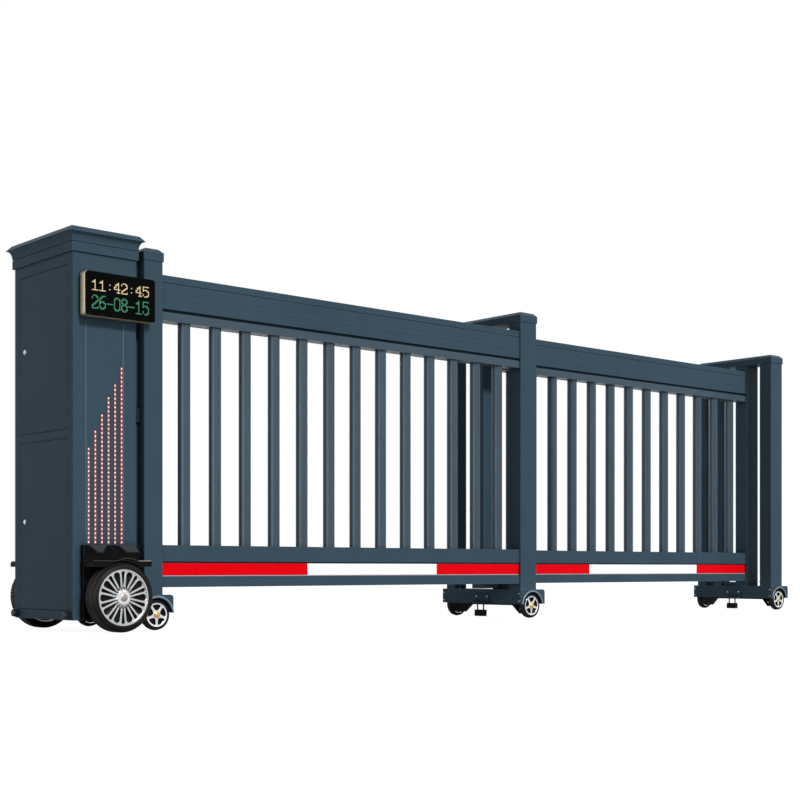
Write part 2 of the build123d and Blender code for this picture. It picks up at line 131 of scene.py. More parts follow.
def paint_edge_sheen_and_nook_shade(tree, sh, colour, edge_sheen, nook_shade):
    """Painted highlight lightening the edges and painted shade darkening the joints."""
    base = sh.inputs["Base Color"].links[0].from_socket
    # Painted highlight: edges lighter where the rounded normal turns away from the face
    bev = add(tree, "ShaderNodeBevel", samples=4)
    bev.inputs["Radius"].default_value = EDGE_SHEEN_WIDTH
    face = add(tree, "ShaderNodeNewGeometry")
    dot = add(tree, "ShaderNodeVectorMath", operation="DOT_PRODUCT")
    tree.links.new(bev.outputs["Normal"], dot.inputs[0])
    tree.links.new(face.outputs["Normal"], dot.inputs[1])
    sheen_mask = add(tree, "ShaderNodeMapRange")
    for key, value in (("From Min", 0.99), ("From Max", 0.85), ("To Max", edge_sheen)):
        sheen_mask.inputs[key].default_value = value
    tree.links.new(dot.outputs["Value"], sheen_mask.inputs["Value"])
    lighter = add(tree, "ShaderNodeMix", data_type="RGBA")
    lighter.inputs["B"].default_value = tuple(c * 1.8 + 0.06 for c in colour) + (1,)
    tree.links.new(sheen_mask.outputs["Result"], lighter.inputs["Factor"])
    tree.links.new(base, lighter.inputs["A"])
    # Painted shade: occlusion darkens the colour in joints and hollows
    nook = add(tree, "ShaderNodeAmbientOcclusion", samples=4)
    nook.inputs["Distance"].default_value = NOOK_SHADE_DEPTH
    dark = add(tree, "ShaderNodeMapRange")
    for key, value in (("From Min", 0.25), ("From Max", 0.85), ("To Min", nook_shade), ("To Max", 0.0)):
        dark.inputs[key].default_value = value
    tree.links.new(nook.outputs["AO"], dark.inputs["Value"])
    darker = add(tree, "ShaderNodeMix", data_type="RGBA")
    darker.inputs["B"].default_value = tuple(c * k for c, k in zip(colour, (0.1, 0.3, 0.36))) + (1,)
    tree.links.new(dark.outputs["Result"], darker.inputs["Factor"])
    tree.links.new(lighter.outputs["Result"], darker.inputs["A"])
    tree.links.new(darker.outputs["Result"], sh.inputs["Base Color"])


def painted(name, colour, spread=0.08, rough=(0.36, 0.5), grain=0.12, edge=0.0015, gloss=0.3,
            edge_sheen=0.0, nook_shade=0.0):
    """Paint with a fine grain; the two last arguments add a painted highlight along edges and painted
    shade in joints.
    """
    mat, tree, sh = new_material(name)
    mottled(tree, sh, colour, spread, 2.5)
    if edge_sheen or nook_shade:
        paint_edge_sheen_and_nook_shade(tree, sh, colour, edge_sheen, nook_shade)
    sh.inputs["Specular IOR Level"].default_value = gloss
    tree.links.new(scalar(tree, noise(tree, 9, 4), *rough), sh.inputs["Roughness"])
    bump(tree, sh, noise(tree, 900, 2), grain, 0.0004, edge)
    return mat


def metal(name, colour, rough=(0.12, 0.26), spread=0.05, scratches=0.06):
    """Bare metal with fine scratches."""
    mat, tree, sh = new_material(name)
    mottled(tree, sh, colour, spread, 14)
    sh.inputs["Metallic"].default_value = 1.0
    tree.links.new(scalar(tree, noise(tree, 40, 5), *rough), sh.inputs["Roughness"])
    bump(tree, sh, noise(tree, 400, 3), scratches, 0.0003, 0.0008)
    return mat


def rubber(name, colour, rough):
    """Matt rubber with painted shade in its joints and a faint painted highlight on its edges."""
    mat, tree, sh = new_material(name)
    mottled(tree, sh, colour, 0.25, 30)
    paint_edge_sheen_and_nook_shade(tree, sh, colour, 0.2, 0.9)
    sh.inputs["Specular IOR Level"].default_value = 0.1
    tree.links.new(scalar(tree, noise(tree, 60, 4), *rough), sh.inputs["Roughness"])
    bump(tree, sh, noise(tree, 500, 3), 0.3, 0.0004, 0.001)
    return mat


def glowing(name, colour, glow, strength):
    """Lit lens over a base colour."""
    mat, tree, sh = new_material(name)
    mottled(tree, sh, colour, 0.06, 60)
    sh.inputs["Roughness"].default_value = 0.3
    sh.inputs["Emission Color"].default_value = tuple(glow) + (1,)
    sh.inputs["Emission Strength"].default_value = strength
    bump(tree, sh, noise(tree, 300, 2), 0.05, 0.0002)
    return mat


SLATE = (0.033, 0.058, 0.080)
# In painted(), the two last values add a painted highlight along edges and painted shade in joints
MATS = {
    "slate_paint": painted("slate_paint", SLATE, gloss=0.03, edge_sheen=0.5, nook_shade=0.85),
    "bar_paint": painted("bar_paint", SLATE, rough=(0.40, 0.44), grain=0.03, gloss=0.24, edge_sheen=0.3,
                         nook_shade=0.8),
    # A lighter slate: painted highlight for the rounded lips over the small wheels
    "lip_highlight_paint": painted("lip_highlight_paint", (0.12, 0.16, 0.21), rough=(0.3, 0.4)),
    # A lighter slate: painted highlight for the edge under the reflective strips
    "strip_edge_highlight": painted("strip_edge_highlight", (0.30, 0.34, 0.38), rough=(0.3, 0.4)),
    # Near-black: painted shade for the gap beside the cabinet
    "gap_shade_dark": painted("gap_shade_dark", (0.006, 0.012, 0.018)),
    # A lighter slate: painted highlight for the grooves on the front stiles
    "stile_highlight": painted("stile_highlight", (0.11, 0.15, 0.18), rough=(0.3, 0.4), gloss=0.1),
    "buffer_gloss": painted("buffer_gloss", (0.008, 0.013, 0.022), 0.15, (0.16, 0.24), 0.03,
                            gloss=0.2),
    "lock_metal": metal("lock_metal", (0.62, 0.64, 0.66)),
    "black_gloss": painted("black_gloss", (0.0012, 0.0012, 0.0014), 0.2, (0.2, 0.28), 0.05,
                           gloss=0.06, edge_sheen=0.5),
    "black_plastic": painted("black_plastic", (0.0035, 0.0035, 0.004), 0.2, (0.35, 0.5), 0.3,
                             gloss=0.05, edge_sheen=0.35),
    "black_steel": painted("black_steel", (0.004, 0.004, 0.005), 0.2, (0.35, 0.55), 0.2,
                           gloss=0.08, edge_sheen=0.3),
    "tyre": rubber("tyre", (0.0055, 0.0054, 0.0052), (0.4, 0.52)),
    # Lighter rubber: painted highlight for the tops of the lugs
    "tyre_lug_sheen": rubber("tyre_lug_sheen", (0.030, 0.028, 0.025), (0.36, 0.46)),
    "fender_trim": metal("fender_trim", (0.55, 0.46, 0.36), (0.3, 0.42)),
    "trim_dark": metal("trim_dark", (0.07, 0.065, 0.06), (0.3, 0.42)),
    "rim_silver": metal("rim_silver", (0.60, 0.61, 0.62), (0.2, 0.3)),
    "rim_bright": metal("rim_bright", (0.82, 0.83, 0.84), (0.22, 0.3)),
    "chrome": metal("chrome", (0.88, 0.89, 0.90), (0.1, 0.2)),
    "brass": metal("brass", (0.72, 0.46, 0.18), (0.2, 0.34)),
    "bronze_grey": metal("bronze_grey", (0.42, 0.36, 0.34), (0.2, 0.3)),
    "gilt_frame": metal("gilt_frame", (0.86, 0.68, 0.46), (0.3, 0.42)),
    "screen_black": painted("screen_black", (0.0012, 0.0018, 0.0015), 0.2, (0.3, 0.4), 0.05,
                            gloss=0.02),
    "steel": metal("steel", (0.5, 0.5, 0.52), (0.28, 0.4)),
    "bolt_zinc": metal("bolt_zinc", (0.34, 0.37, 0.42), (0.2, 0.35)),
    "led_red": glowing("led_red", (0.10, 0.016, 0.016), (0.55, 0.12, 0.11), 0.42),
    "led_white": glowing("led_white", (0.5, 0.35, 0.30), (1.0, 0.72, 0.64), 0.75),
    "digit_cream": glowing("digit_cream", (0.10, 0.08, 0.05), (0.72, 0.55, 0.30), 0.9),
    "digit_green": glowing("digit_green", (0.01, 0.04, 0.02), (0.03, 0.24, 0.12), 0.9),
    "insert_grey": painted("insert_grey", (0.030, 0.036, 0.040), 0.15, (0.3, 0.45), 0.2, gloss=0.15,
                           edge_sheen=0.3),
}


def reflective_film(name, cuts):
    """Red film with a white length between the two cuts, and a fine raised cell pattern."""
    mat, tree, sh = new_material(name)
    coords = object_coords(tree)
    split = add(tree, "ShaderNodeSeparateXYZ")
    tree.links.new(coords, split.inputs[0])
    after = add(tree, "ShaderNodeMath", operation="GREATER_THAN")
    after.inputs[1].default_value = cuts[0]
    before = add(tree, "ShaderNodeMath", operation="LESS_THAN")
    before.inputs[1].default_value = cuts[1]
    both = add(tree, "ShaderNodeMath", operation="MULTIPLY")
    for m, slot in ((after, 0), (before, 1)):
        tree.links.new(split.outputs["X"], m.inputs[0])
        tree.links.new(m.outputs[0], both.inputs[slot])
    mix = add(tree, "ShaderNodeMix", data_type="RGBA")
    tree.links.new(both.outputs[0], mix.inputs["Factor"])
    for slot, low, high in (("A", (0.59, 0.0008, 0.004), (0.67, 0.0012, 0.006)),
                            ("B", (0.80, 0.80, 0.80), (0.88, 0.88, 0.88))):
        tone = ramp(tree, noise(tree, 40, 4), [(0.3, low), (0.7, high)])
        tree.links.new(tone, mix.inputs[slot])
    tree.links.new(mix.outputs["Result"], sh.inputs["Base Color"])
    sh.inputs["Specular IOR Level"].default_value = 0.02
    cells = add(tree, "ShaderNodeTexVoronoi")
    cells.inputs["Scale"].default_value = 220
    tree.links.new(coords, cells.inputs["Vector"])
    tree.links.new(scalar(tree, cells.outputs["Distance"], 0.25, 0.4), sh.inputs["Roughness"])
    bump(tree, sh, cells.outputs["Distance"], 0.15, 0.0003, 0.0008)
    return mat


def paint_node(name, mat):
    """Give a CAD node one material."""
    data = NODES[name].data
    data.materials.clear()
    data.materials.append(mat)


# Distances along the fence where each strip's white length starts and ends
FILM_CUTS = ((1, (0.868, 1.674)), (2, (3.023, 4.013)))
post_1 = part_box("portal_1_posts")
ROW_X = post_1[0].x
ROW_Y = post_1[0].y
for part in frame["record"]["subparts"]:
    paint_node(part["node"], MATS.get(part["material_slot"], MATS["slate_paint"]))
for panel, cuts in FILM_CUTS:
    paint_node(f"panel_{panel}_pickets", MATS["bar_paint"])
    paint_node(f"panel_{panel}_reflective_strip",
               reflective_film(f"film_{panel}", (ROW_X + cuts[0], ROW_X + cuts[1])))
paint_node("buffers", MATS["buffer_gloss"])
# Painted shade: the links beside the cabinet are painted near-black, as the dark gap there
paint_node("cabinet_links", MATS["gap_shade_dark"])


# Mesh helpers

def mesh_object(name, bm, mat, body, smooth=True):
    """Object made from bm, riding with body."""
    data = bpy.data.meshes.new(name)
    bm.normal_update()
    bm.to_mesh(data)
    bm.free()
    data.materials.append(mat)
    obj = bpy.data.objects.new(name, data)
    bpy.context.scene.collection.objects.link(obj)
    if smooth:
        for p in data.polygons:
            p.use_smooth = True
        data.set_sharp_from_angle(angle=math.radians(35))
    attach(obj, body)
    return obj


def lathe(bm, centre, profile, segments):
    """Closed profile of (radius, along) pairs turned about a line along Y through centre."""
    rings = []
    for i in range(segments):
        a = 2 * math.pi * i / segments
        rings.append([bm.verts.new((centre[0] + r * math.sin(a), centre[1] + y,
                                    centre[2] + r * math.cos(a))) for r, y in profile])
    n = len(profile)
    for i in range(segments):
        a, b = rings[i], rings[(i + 1) % segments]
        for j in range(n):
            k = (j + 1) % n
            bm.faces.new((a[j], a[k], b[k], b[j]))
    bmesh.ops.recalc_face_normals(bm, faces=bm.faces)


def bevel_box(bm, lo, hi, r):
    """Box between two corners with its edges rounded by r."""
    verts = bmesh.ops.create_cube(bm, size=1.0)["verts"]
    for v in verts:
        for i in range(3):
            v.co[i] = lo[i] if v.co[i] < 0 else hi[i]
    edges = list({e for v in verts for e in v.link_edges})
    bmesh.ops.bevel(bm, geom=edges, offset=r, segments=2, affect="EDGES", profile=0.6)


BOLT_HEIGHT = 0.004


def bolt(bm, at, radius, normal):
    """Hexagon head, narrowing a little to its top, on a washer, standing on a face."""
    n = Vector(normal)
    rot = n.to_track_quat("Z", "Y").to_matrix().to_4x4()
    place = Matrix.Translation(Vector(at)) @ rot
    for r, z0, z1, seg in ((radius * 1.45, -0.0002, 0.0012, 20), (radius, 0.0012, BOLT_HEIGHT, 6)):
        bmesh.ops.create_cone(bm, cap_ends=True, segments=seg, radius1=r, radius2=r * 0.9,
                              depth=z1 - z0,
                              matrix=place @ Matrix.Translation((0, 0, (z0 + z1) / 2)))


def extrude_outline(bm, outline, y0, y1):
    """Polygon in X and Z carried from y0 to y1."""
    front = [bm.verts.new((x, y0, z)) for x, z in outline]
    back = [bm.verts.new((x, y1, z)) for x, z in outline]
    bm.faces.new(front)
    bm.faces.new(list(reversed(back)))
    for i in range(len(outline)):
        j = (i + 1) % len(outline)
        bm.faces.new((front[j], front[i], back[i], back[j]))
    bmesh.ops.recalc_face_normals(bm, faces=bm.faces)


# Light dots on the six strips

STRIP_TOPS = (0.742, 0.813, 0.881, 0.954, 1.008, 1.080)
STRIP_BOTTOM, STRIP_PITCH, DOT_PITCH = 0.366, 0.0304, 0.0179
DOT_RADIUS, DOT_RISE = 0.0036, 0.0024
strip_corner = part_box("light_strips")[0]
bm = bmesh.new()
for col, top in enumerate(STRIP_TOPS):
    x = strip_corner.x + 0.004 + STRIP_PITCH * col
    count = int(round((top - STRIP_BOTTOM) / DOT_PITCH))
    for i in range(count + 1):
        z = STRIP_BOTTOM + (top - STRIP_BOTTOM) * i / count
        bmesh.ops.create_uvsphere(bm, u_segments=10, v_segments=6, radius=1.0,
                                  matrix=Matrix.Translation((x, strip_corner.y, z))
                                  @ Matrix.Diagonal((DOT_RADIUS, DOT_RISE, DOT_RADIUS, 1)))
mesh_object("light_dots", bm, MATS["led_white"], "drive_section")


# Clock and date figures on the display

GLYPHS = {
    "0": ["01110", "11011", "10001", "10001", "10001", "10001", "10001", "10001", "11011", "01110"],
    "1": ["00100", "01100", "11100", "00100", "00100", "00100", "00100", "00100", "00100", "11111"],
    "2": ["01110", "10011", "10001", "00001", "00011", "00110", "01100", "11000", "10001", "11111"],
    "4": ["00010", "00110", "01110", "01010", "11010", "10010", "11111", "00010", "00010", "00111"],
    "5": ["11111", "10000", "10000", "11110", "10011", "00001", "00001", "10001", "10011", "01110"],
    "6": ["00111", "01100", "11000", "10000", "11110", "11011", "10001", "10001", "11011", "01110"],
    "8": ["01110", "11011", "10001", "11011", "01110", "11011", "10001", "10001", "11011", "01110"],
    ":": ["00000", "00000", "00000", "00100", "00000", "00000", "00000", "00100", "00000", "00000"],
    "-": ["00000", "00000", "00000", "00000", "00000", "11111", "00000", "00000", "00000", "00000"],
}
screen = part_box("display_screen")
SCREEN_Y = screen[0].y


def figures(name, text, z_top, height, mat, x0, x1, stroke):
    """Figures drawn as thin strokes between neighbouring lit cells."""
    bm = bmesh.new()
    cell_h = height / 9
    advance = (x1 - x0) / len(text)
    cell_w = advance * 0.74 / 4
    y0, y1 = SCREEN_Y - 0.0008, SCREEN_Y + 0.0004
    half = stroke / 2
    for i, ch in enumerate(text):
        lit = {(r, c) for r, row in enumerate(GLYPHS[ch]) for c, on in enumerate(row) if on == "1"}
        for r, c in sorted(lit):
            cx, cz = x0 + advance * i + cell_w * (c + 0.4), z_top - cell_h * r
            wide = half * 1.25 if ch == ":" else half
            bevel_box(bm, (cx - wide, y0, cz - wide), (cx + wide, y1, cz + wide), 0.0004)
            if (r, c + 1) in lit:
                bevel_box(bm, (cx, y0, cz - half), (cx + cell_w, y1, cz + half), 0.0003)
            if (r + 1, c) in lit:
                bevel_box(bm, (cx - half, y0, cz - cell_h), (cx + half, y1, cz), 0.0003)
    mesh_object(name, bm, mat, "drive_section")


row_start, row_end = screen[0].x + 0.027, screen[0].x + 0.296
screen_top = screen[1].z
figures("clock_figures", "11:42:45", screen_top - 0.0345, 0.040, MATS["digit_cream"],
        row_start, row_end, 0.0036)
figures("date_figures", "26-08-15", screen_top - 0.0965, 0.051, MATS["digit_green"],
        row_start, row_end, 0.0038)


# Tyres with a cut tread

TYRES = {
    "big": {"inner": 0.1142, "shoulder": 0.018, "tread": 0.004, "gap": 0.0022, "lugs": 66,
            "segments": 120},
    "small": {"inner": 0.0502, "shoulder": 0.008, "tread": 0.0025, "gap": 0.0016, "lugs": 40,
              "segments": 72},
}
LUG_SLANT, LUG_SHARE, SHOULDER_DROP = 0.22, 0.36, 0.0022


def tyre_piece(node, body, kind):
    """Rounded carcass with rows of slanted lugs standing on it."""
    size = TYRES[kind]
    lo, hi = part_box(node)
    centre = (lo + hi) / 2
    r_out = (hi.z - lo.z) / 2
    half = (hi.y - lo.y) / 2
    r_in, wall, gap = size["inner"], size["shoulder"], size["gap"]
    floor = r_out - size["tread"]
    deep = r_out - r_in
    side = [(r_in, 0.004), (r_in + 0.002, 0.0012), (r_in + deep * 0.16, 0.0004),
            (r_in + deep * 0.18, 0.0009), (r_in + deep * 0.36, 0.0016),
            (r_in + deep * 0.58, wall * 0.2), (r_in + deep * 0.74, wall * 0.44),
            (floor - 0.0008, wall * 0.75), (floor, wall)]
    crown = [(floor, half * k) for k in (-0.4, 0, 0.4)]
    profile = ([(r, d - half) for r, d in side] + crown
               + [(r, half - d) for r, d in reversed(side)])
    bm = bmesh.new()
    lathe(bm, centre, profile, size["segments"])
    edge = half - wall * 0.66
    if kind == "big":
        rows = [(-edge, -half * 0.52), (-half * 0.45, -gap), (gap, half * 0.45),
                (half * 0.52, edge)]
    else:
        rows = [(-edge, -gap), (gap, edge)]
    lugs = size["lugs"]
    length = 2 * math.pi * r_out / lugs
    for i in range(lugs):
        for k, (y0, y1) in enumerate(rows):
            turn = (i + 0.5 * (k % 2)) * 2 * math.pi / lugs
            place = Matrix.Translation(centre) @ Matrix.Rotation(turn, 4, "Y")
            slant = LUG_SLANT * (1 if k % 2 else -1)
            for v in bmesh.ops.create_cube(bm, size=1.0)["verts"]:
                along = y0 if v.co.y < 0 else y1
                across = (length * (LUG_SHARE if v.co.x > 0 else -LUG_SHARE)
                          + slant * (along - (y0 + y1) / 2))
                drop = SHOULDER_DROP if abs(along) >= edge - 0.0001 else 0.0
                v.co = place @ Vector((across, along,
                                       floor - 0.001 if v.co.z < 0 else r_out - 0.0001 - drop))
    obj = mesh_object(node + "_tread", bm, MATS["tyre"], body)
    # Lug tops take the lighter rubber, a painted highlight over the darker grooves
    obj.data.materials.append(MATS["tyre_lug_sheen"])
    for p in obj.data.polygons:
        d = p.center - centre
        if math.hypot(d.x, d.z) > floor + 0.0006:
            p.material_index = 1
    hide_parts(node)


tyre_piece("front_drive_tyre", "drive_wheels", "big")
tyre_piece("rear_drive_tyre", "drive_wheels", "big")
SMALL_WHEELS = [n[:-len("_tyre")] for n in sorted(NODES)
                if n.startswith("portal") and n.endswith("_tyre")]
for w in SMALL_WHEELS:
    tyre_piece(w + "_tyre", w + "_wheel", "small")


# Rims, caps, and dark plates behind the spokes, painted shade for the hollow inside each wheel. ENDS
# gives each end's outward direction along Y.

ENDS = (("front", -1), ("rear", 1))
SMALL_DISC, SMALL_CAP = 0.0468, 0.0125
DRIVE_DISC, DRIVE_INNER_SHADE, DRIVE_CAP = 0.106, 0.112, 0.0165
STAR_POINTS, STAR_INNER, STAR_OUTER = 20, 0.0255, 0.0310
ROOTS = ((0.044, 0.0026), (0.030, 0.0006))
SMALL_SPOKES = 5
SMALL_SPOKE = ((0.0145, 0.0082), (0.026, 0.0054), (0.037, 0.0050), (0.0452, 0.0088))


def cap_piece(name, centre, face_y, out, radius, mat, body):
    """Domed hub cap on a wheel, with a stepped edge."""
    bm = bmesh.new()
    steps = 7
    profile = [(radius * 1.12, 0.0), (radius * 1.12, out * 0.0015), (radius, out * 0.002)]
    for i in range(steps + 1):
        t = i / steps * math.pi / 2
        profile.append((max(radius * math.cos(t), 0.0002), out * (0.002 + 0.004 * math.sin(t))))
    profile.append((0.0002, 0.0))
    lathe(bm, (centre.x, face_y, centre.z), profile, 40)
    mesh_object(name, bm, mat, body)


def spoke_outline(centre, turn, widths):
    """Outline along one radius from (radius, half width) pairs, down one side and up the other."""
    sx, sz = math.sin(turn), math.cos(turn)
    sides = list(widths) + [(r, -w) for r, w in reversed(widths)]
    return [(centre.x + r * sx + w * sz, centre.z + r * sz - w * sx) for r, w in sides]


def small_rim(node, body, out):
    """Ring with a stepped lip and five tapered spokes."""
    lo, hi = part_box(node)
    c = (lo + hi) / 2
    face = lo.y if out < 0 else hi.y
    deep = hi.y - lo.y
    bm = bmesh.new()
    ring = [(0.0501, 0.0002), (0.0501, deep - 0.0002), (0.0478, deep - 0.0002), (0.0472, 0.006),
            (0.0440, 0.0036), (0.0436, 0.0012), (0.0452, 0.0004)]
    hub = [(0.0150, 0.0010), (0.0178, 0.0022), (0.0182, 0.016), (0.008, 0.016), (0.008, 0.0010)]
    for part in (ring, hub):
        lathe(bm, (c.x, face, c.z), [(r, -out * y) for r, y in part], 60)
    step = 360 / SMALL_SPOKES
    for i in range(SMALL_SPOKES):
        extrude_outline(bm, spoke_outline(c, math.radians(step / 2 + step * i), SMALL_SPOKE),
                        face - out * 0.0018, face - out * 0.009)
    obj = mesh_object(node + "_star", bm, MATS["chrome"], body)
    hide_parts(node)


def back_disc(name, centre, y, out, radius, body):
    """Dark dished plate behind the spokes, painted shade for the hollow inside the wheel."""
    bm = bmesh.new()
    lathe(bm, (centre.x, y, centre.z), [(0.006, 0), (0.006, -out * 0.002), (radius, -out * 0.004),
                                        (radius, -out * 0.001), (radius * 0.8, 0)], 48)
    mesh_object(name, bm, MATS["black_steel"], body)


for w in SMALL_WHEELS:
    lo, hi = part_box(w + "_rim")
    out = -1 if "front" in w else 1
    face = lo.y if out < 0 else hi.y
    mid = (lo + hi) / 2
    body = w + "_wheel"
    small_rim(w + "_rim", body, out)
    back_disc(w + "_back_disc", mid, face - out * 0.0125, out, SMALL_DISC, body)
    cap_piece(w + "_hub_cap", mid, face - out * 0.0005, out, SMALL_CAP, MATS["brass"], body)
for end, out in ENDS:
    lo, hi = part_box(end + "_drive_rim")
    face = (lo.y if out < 0 else hi.y) - out * 0.003
    back = (hi.y if out < 0 else lo.y) + out * 0.006
    mid = (lo + hi) / 2
    back_disc(end + "_drive_back_disc", mid, face - out * 0.018, out, DRIVE_DISC, "drive_wheels")
    # A second dark plate at the rim's inner side, painted shade as well
    back_disc(end + "_drive_inner_shade_disc", mid, back, out, DRIVE_INNER_SHADE, "drive_wheels")
    bm = bmesh.new()
    star = []
    for i in range(2 * STAR_POINTS):
        r = STAR_OUTER if i % 2 else STAR_INNER
        a = math.radians(180 / STAR_POINTS * i)
        star.append((mid.x + r * math.sin(a), mid.z + r * math.cos(a)))
    extrude_outline(bm, star, face - out * 0.001, face + out * 0.0042)
    tips = bmesh.new()
    for i in range(STAR_POINTS):
        extrude_outline(tips, spoke_outline(mid, math.radians(360 / STAR_POINTS * i), ROOTS),
                        face + out * 0.0028, face + out * 0.0033)
    mesh_object(end + "_spoke_roots", tips, MATS["black_gloss"], "drive_wheels")
    mesh_object(end + "_hub_star", bm, MATS["rim_bright"], "drive_wheels")
    cap_piece(end + "_drive_hub_cap", mid, face + out * 0.002, out, DRIVE_CAP,
              MATS["bronze_grey"], "drive_wheels")


# Swept fins and grey inserts on the black bays

# Outlines in millimetres, X from BAY_INSET inside the bay's left edge and Z from the ground
BAY_INSET = 0.003
FINS = [[(0, 354), (24, 354), (40, 341), (62, 324), (90, 323), (106, 353), (118, 354),
         (120, 346), (127, 340), (137, 341), (142, 334), (130, 328), (112, 330), (102, 318),
         (0, 316)],
        [(144, 354), (160, 354), (176, 340), (197, 324), (256, 325), (264, 316), (150, 316),
         (156, 330), (150, 344)]]
INSERTS = [[(27, 353), (105, 353), (88, 325), (64, 326)],
           [(163, 353), (240, 353), (255, 327), (199, 326)]]
WAVE = [(4, 291), (104, 291), (120, 295), (134, 300), (156, 302), (178, 300), (192, 295),
        (208, 291), (266, 291)]
TRIM_HEIGHT, TRIM_BRIGHT_FROM = 0.0022, 0.211
cab_lo, cab_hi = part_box("cabinet_body")
for end, out in ENDS:
    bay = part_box(end + "_wheel_bay")
    face = (cab_lo.y if out < 0 else cab_hi.y) + out * 0.024
    x0 = bay[0].x + BAY_INSET
    for label, shapes, proud, key in (("fins", FINS, 0.004, "black_gloss"),
                                      ("inserts", INSERTS, 0.0022, "insert_grey")):
        bm = bmesh.new()
        for shape in shapes:
            extrude_outline(bm, [(x0 + x / 1000, z / 1000) for x, z in shape],
                            face - out * 0.0005, face + out * proud)
        rims = [e for e in bm.edges if abs(e.verts[0].co.y - e.verts[1].co.y) < 1e-6
                and abs(e.verts[0].co.y - face) > 0.001]
        bmesh.ops.bevel(bm, geom=rims, offset=0.0008, segments=2, affect="EDGES")
        mesh_object(end + "_bay_" + label, bm, MATS[key], "drive_section")

    # Trim along the fender's top edge, bright at its right-hand end only
    bm = bmesh.new()
    edge_y = bay[1].y if out > 0 else bay[0].y
    for a, b in zip(WAVE, WAVE[1:]):
        extrude_outline(bm, [(x0 + x / 1000, z / 1000 + dz)
                             for (x, z), dz in ((a, -TRIM_HEIGHT), (b, -TRIM_HEIGHT),
                                                (b, 0.0), (a, 0.0))],
                        edge_y - out * 0.0015, edge_y + out * 0.0008)
    trim = mesh_object(end + "_fender_trim", bm, MATS["trim_dark"], "drive_section")
    trim.data.materials.append(MATS["fender_trim"])
    for p in trim.data.polygons:
        p.material_index = 1 if p.center.x > bay[0].x + TRIM_BRIGHT_FROM else 0


# Painted highlight: a light line under each reflective strip, for the lit edge below it

for panel, body in (("panel_1", "drive_section"), ("panel_2", "tail_section")):
    lo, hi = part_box(panel + "_reflective_strip")
    bm = bmesh.new()
    bevel_box(bm, (lo.x, lo.y - 0.0012, lo.z - 0.0045), (hi.x, lo.y + 0.003, lo.z - 0.0005), 0.0005)
    mesh_object(panel + "_strip_edge_highlight", bm, MATS["strip_edge_highlight"], body)


# Bolts, and the lips over the small wheels

BASE_BOLT, GUARD_BOLT = 0.0034, 0.004
LIP_INNER, LIP_OUTER = 0.0716, 0.0815
ARCH_STEPS, ARCH_ANGLE = 40, 84


def bolts(name, body, spots, radius):
    """One piece with a bolt at each (place, normal) spot."""
    bm = bmesh.new()
    for at, normal in spots:
        bolt(bm, at, radius, normal)
    mesh_object(name, bm, MATS["bolt_zinc"], body, smooth=False)


def arch_band(bm, centre, out, r0, r1):
    """Rounded lip over a wheel, from one foot of the arch to the other."""
    section = [(r0, 0.0), (r0, 0.0026), (r0 + 0.0014, 0.0036), ((r0 + r1) / 2, 0.0034),
               (r1 - 0.002, 0.0016), (r1, 0.0)]
    rings = []
    for i in range(ARCH_STEPS + 1):
        a = math.radians(-ARCH_ANGLE + 2 * ARCH_ANGLE * i / ARCH_STEPS)
        rings.append([bm.verts.new((centre[0] + r * math.sin(a), centre[1] + out * y,
                                    centre[2] + r * math.cos(a))) for r, y in section])
    for a, b in zip(rings, rings[1:]):
        for j in range(len(section)):
            k = (j + 1) % len(section)
            bm.faces.new((a[j], a[k], b[k], b[j]))
    bm.faces.new(rings[0])
    bm.faces.new(list(reversed(rings[-1])))
    bmesh.ops.recalc_face_normals(bm, faces=bm.faces)


for portal, body in (("portal_1", "drive_section"), ("portal_2", "drive_section"),
                     ("portal_3", "tail_section")):
    lo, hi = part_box(portal + "_base_beam")
    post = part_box(portal + "_posts")
    spots = [((lo.x, y, z), (-1, 0, 0)) for y in (lo.y + 0.014, hi.y - 0.014)
             for z in (0.088, 0.128)]
    spots += [((hi.x, y, 0.110), (1, 0, 0)) for y in (lo.y + 0.100, hi.y - 0.100)]
    for x in (post[0].x + 0.022, post[0].x + 0.068):
        for y in (post[1].y - 0.080, post[0].y + 0.100):
            spots.append(((x, y, hi.z), (0, 0, 1)))
    if portal != "portal_1":
        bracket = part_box(portal + "_guide_bracket")
        for y in (bracket[0].y + 0.012, bracket[1].y - 0.012):
            spots.append(((bracket[0].x + 0.024, y, 0.110), (-1, 0, 0)))
    bolts(portal + "_bolts", body, spots, BASE_BOLT)
    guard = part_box(portal + "_wheel_guards")
    mid_x = (guard[0].x + guard[1].x) / 2
    bolts(portal + "_guard_bolts", body,
          [((mid_x + dx, y, 0.045), (0, n, 0)) for dx in (-0.03, 0.03)
           for y, n in ((guard[0].y, -1), (guard[1].y, 1))], GUARD_BOLT)
    bm = bmesh.new()
    for y, out, wheel in ((lo.y, -1, portal + "_front"), (hi.y, 1, portal + "_rear")):
        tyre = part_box(wheel + "_tyre")
        cx, cz = (tyre[0].x + tyre[1].x) / 2, (tyre[0].z + tyre[1].z) / 2
        arch_band(bm, (cx, y, cz), out, LIP_INNER, LIP_OUTER)
    # The lips take the lighter slate, a painted highlight
    mesh_object(portal + "_arch_lips", bm, MATS["lip_highlight_paint"], body)


# Seal strip in the gap beside the cabinet, and light lines on the front stiles, a painted highlight
# along their grooves

